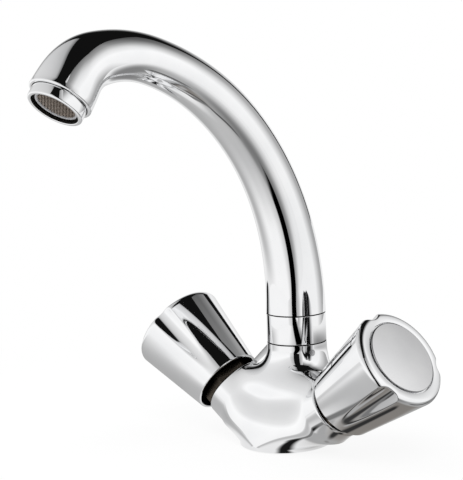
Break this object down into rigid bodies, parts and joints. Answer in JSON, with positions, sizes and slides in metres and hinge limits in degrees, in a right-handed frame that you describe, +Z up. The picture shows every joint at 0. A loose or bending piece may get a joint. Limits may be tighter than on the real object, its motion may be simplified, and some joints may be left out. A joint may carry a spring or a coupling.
{
  "type": "basin mixer tap",
  "caption": "Deck mounted basin mixer with a swivelling arched spout and lobed hot and cold handles on angled valve arms.",
  "frame": {"origin": "centre of the round foot's underside, on the deck", "axes": "+Z up, the spout points along -Y at rest, the right handle is on +X"},
  "size_m": [0.1678, 0.1697, 0.1981],
  "materials": {
    "chrome": "polished chrome plate on cast brass and zinc",
    "cap_chrome": "soft polished chrome plate",
    "brass": "machined",
    "steel": "plain",
    "rubber": "matte",
    "ceramic": "lapped alumina",
    "grey_plastic": "moulded",
    "screen": "fine woven wire"
  },
  "bodies": {
    "base": {"body": "chrome", "base_gasket": "rubber", "spout_glide_ring": "grey_plastic", "spout_grub_screw": "steel", "valve_bonnet_left": "brass", "bonnet_seal_left": "rubber", "fixed_disc_left": "ceramic", "seat_seal_left": "rubber", "valve_bonnet_right": "brass", "bonnet_seal_right": "rubber", "fixed_disc_right": "ceramic", "seat_seal_right": "rubber"},
    "spout": {"spout": "chrome", "spout_collar": "chrome", "spout_o_rings": "rubber", "aerator_housing": "chrome", "aerator_insert": "grey_plastic", "aerator_screen": "screen", "aerator_washer": "rubber"},
    "left_handle": {"handle_left": "chrome", "index_cap_left": "cap_chrome", "handle_screw_left": "steel", "valve_spindle_left": "brass", "spindle_o_ring_left": "rubber", "spindle_clip_left": "steel", "turning_disc_left": "ceramic"},
    "right_handle": {"handle_right": "chrome", "index_cap_right": "cap_chrome", "handle_screw_right": "steel", "valve_spindle_right": "brass", "spindle_o_ring_right": "rubber", "spindle_clip_right": "steel", "turning_disc_right": "ceramic"}
  },
  "joints": [
    {"name": "spout_swivel", "type": "hinge", "parent": "base", "child": "spout", "pos_m": [0, 0.0103, 0.0471], "axis": [0, 0, 1], "continuous": true},
    {"name": "hot_turn", "type": "hinge", "parent": "base", "child": "left_handle", "pos_m": [0, 0, -0.0027], "axis": [-0.809, 0, 0.5878], "range_deg": [0, 90]},
    {"name": "cold_turn", "type": "hinge", "parent": "base", "child": "right_handle", "pos_m": [0, 0, -0.0027], "axis": [0.809, 0, 0.5878], "range_deg": [-90, 0]}
  ]
}
